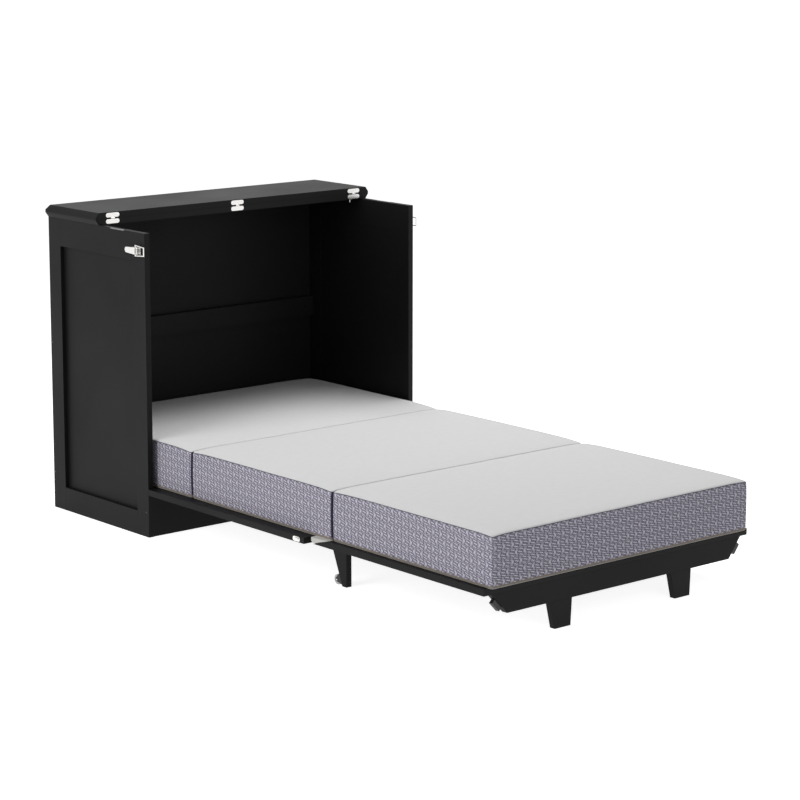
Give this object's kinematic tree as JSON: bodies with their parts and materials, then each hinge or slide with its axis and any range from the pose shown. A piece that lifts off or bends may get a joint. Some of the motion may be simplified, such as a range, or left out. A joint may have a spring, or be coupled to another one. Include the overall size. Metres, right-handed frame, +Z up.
{
  "type": "cabinet bed",
  "caption": "Low cabinet with a folding lid whose front and foot panels fold out on legs to carry a tri-fold mattress.",
  "frame": {"origin": "on the floor, under the middle of the open bed", "axes": "+Y towards the wall behind the cabinet, +X to the right seen from the foot of the bed, +Z up"},
  "size_m": [1.097, 2.0576, 0.9834],
  "materials": {
    "black_lacquer": "satin black lacquer",
    "bright_nickel": "bright nickel plate",
    "mattress_cover": "quilted knit cover with a lilac-grey border",
    "white_cloth": "plain woven cloth",
    "white_wheel": "moulded white plastic",
    "black_plastic": "matt black plastic",
    "grey_rubber": "soft pale grey strip"
  },
  "bodies": {
    "cabinet": {"left_front_stile": "black_lacquer", "left_rear_stile": "black_lacquer", "left_bottom_rail": "black_lacquer", "left_top_rail": "black_lacquer", "left_infill": "black_lacquer", "right_front_stile": "black_lacquer", "right_rear_stile": "black_lacquer", "right_bottom_rail": "black_lacquer", "right_top_rail": "black_lacquer", "right_infill": "black_lacquer", "back_panel": "black_lacquer", "back_rail": "black_lacquer", "kick_board": "black_lacquer", "head_platform": "black_lacquer", "side_battens": "black_lacquer", "rear_batten": "black_lacquer", "centre_support": "black_lacquer", "rear_top": "black_lacquer", "top_bumpers": "grey_rubber", "top_hinge_plates": "bright_nickel", "latch_bases": "bright_nickel", "platform_hinge_leaf": "bright_nickel"},
    "lid": {"lid_board": "black_lacquer", "lid_hinge_plates": "bright_nickel"},
    "left_lever": {"left_latch_lever": "bright_nickel"},
    "left_bail": {"left_latch_bail": "bright_nickel"},
    "right_lever": {"right_latch_lever": "bright_nickel"},
    "right_bail": {"right_latch_bail": "bright_nickel"},
    "front_panel": {"front_panel_left_stile": "black_lacquer", "front_panel_right_stile": "black_lacquer", "front_panel_lower_rail": "black_lacquer", "front_panel_upper_rail": "black_lacquer", "front_panel_infill": "black_lacquer", "front_panel_hinge_leaf": "bright_nickel", "centre_hinge_leaf": "bright_nickel", "catch_hooks": "bright_nickel"},
    "foot_panel": {"foot_panel_board": "black_lacquer", "foot_panel_hinge_leaf": "bright_nickel", "foot_hinge_leaf": "bright_nickel", "right_hinge_leg": "black_lacquer", "left_hinge_leg": "black_lacquer", "roller_forks": "black_plastic", "cover_tucks": "white_cloth"},
    "left_roller_body": {"left_roller": "white_wheel"},
    "right_roller_body": {"right_roller": "white_wheel"},
    "foot_board_body": {"foot_board": "black_lacquer", "left_foot_leg": "black_lacquer", "right_foot_leg": "black_lacquer", "end_blocks": "black_plastic", "foot_board_hinge_leaf": "bright_nickel"},
    "mattress_head_body": {"mattress_head": "mattress_cover"},
    "mattress_middle_body": {"mattress_middle": "mattress_cover"},
    "mattress_foot_body": {"mattress_foot": "mattress_cover"}
  },
  "joints": [
    {"name": "front_panel_raise", "type": "hinge", "parent": "cabinet", "child": "front_panel", "pos_m": [0, 0.4978, 0.1522], "axis": [-1, 0, 0], "range_deg": [0, 90], "deforming": ["mattress_head"]},
    {"name": "foot_panel_fold", "type": "hinge", "parent": "front_panel", "child": "foot_panel", "pos_m": [0, -0.2732, 0.1522], "axis": [-1, 0, 0], "range_deg": [0, 180], "deforming": ["mattress_middle", "mattress_foot"]},
    {"name": "foot_board_fold", "type": "hinge", "parent": "foot_panel", "child": "foot_board_body", "pos_m": [0, -0.9946, 0.1328], "axis": [1, 0, 0], "range_deg": [0, 95.5]},
    {"name": "lid_close", "type": "hinge", "parent": "cabinet", "child": "lid", "pos_m": [0, 0.7428, 0.9642], "axis": [1, 0, 0], "range_deg": [0, 180]},
    {"name": "left_latch_lever_turn", "type": "hinge", "parent": "cabinet", "child": "left_lever", "pos_m": [-0.542, 0.5274, 0.89], "axis": [0, 0, 1], "range_deg": [0, 140]},
    {"name": "left_latch_bail_swing", "type": "hinge", "parent": "left_lever", "child": "left_bail", "pos_m": [-0.542, 0.5354, 0.89], "axis": [0, 0, -1], "range_deg": [0, 154]},
    {"name": "left_roller_spin", "type": "hinge", "parent": "foot_panel", "child": "left_roller_body", "pos_m": [-0.422, -0.2944, 0.015], "axis": [1, 0, 0], "continuous": true},
    {"name": "right_latch_lever_turn", "type": "hinge", "parent": "cabinet", "child": "right_lever", "pos_m": [0.542, 0.5274, 0.89], "axis": [0, 0, -1], "range_deg": [0, 140]},
    {"name": "right_latch_bail_swing", "type": "hinge", "parent": "right_lever", "child": "right_bail", "pos_m": [0.542, 0.5354, 0.89], "axis": [0, 0, 1], "range_deg": [0, 154]},
    {"name": "right_roller_spin", "type": "hinge", "parent": "foot_panel", "child": "right_roller_body", "pos_m": [0.422, -0.2944, 0.015], "axis": [1, 0, 0], "continuous": true},
    {"name": "mattress_head_rise", "type": "hinge", "parent": "cabinet", "child": "mattress_head_body", "pos_m": [0, 0.9248, 0.2282], "axis": [-1, 0, 0], "range_deg": [0, 90]},
    {"name": "mattress_middle_shift", "type": "slide", "parent": "front_panel", "child": "mattress_middle_body", "axis": [0, 0.9681, 0.2504], "range_m": [0, 0.17732]},
    {"name": "mattress_foot_fold", "type": "hinge", "parent": "mattress_middle_body", "child": "mattress_foot_body", "pos_m": [0, -0.35233, 0.3048], "axis": [-1, 0, 0], "range_deg": [0, 180]}
  ],
  "couplings": [
    {"joint": "lid_close", "follows": "foot_panel_fold", "ratio": 1},
    {"joint": "foot_board_fold", "follows": "foot_panel_fold", "ratio": 0.53056},
    {"joint": "mattress_head_rise", "follows": "front_panel_raise", "ratio": 1},
    {"joint": "mattress_middle_shift", "follows": "foot_panel_fold", "m_per_rad": 0.056441},
    {"joint": "mattress_foot_fold", "follows": "foot_panel_fold", "ratio": 1},
    {"joint": "left_latch_bail_swing", "follows": "left_latch_lever_turn", "ratio": 1.1},
    {"joint": "right_latch_bail_swing", "follows": "right_latch_lever_turn", "ratio": 1.1}
  ]
}
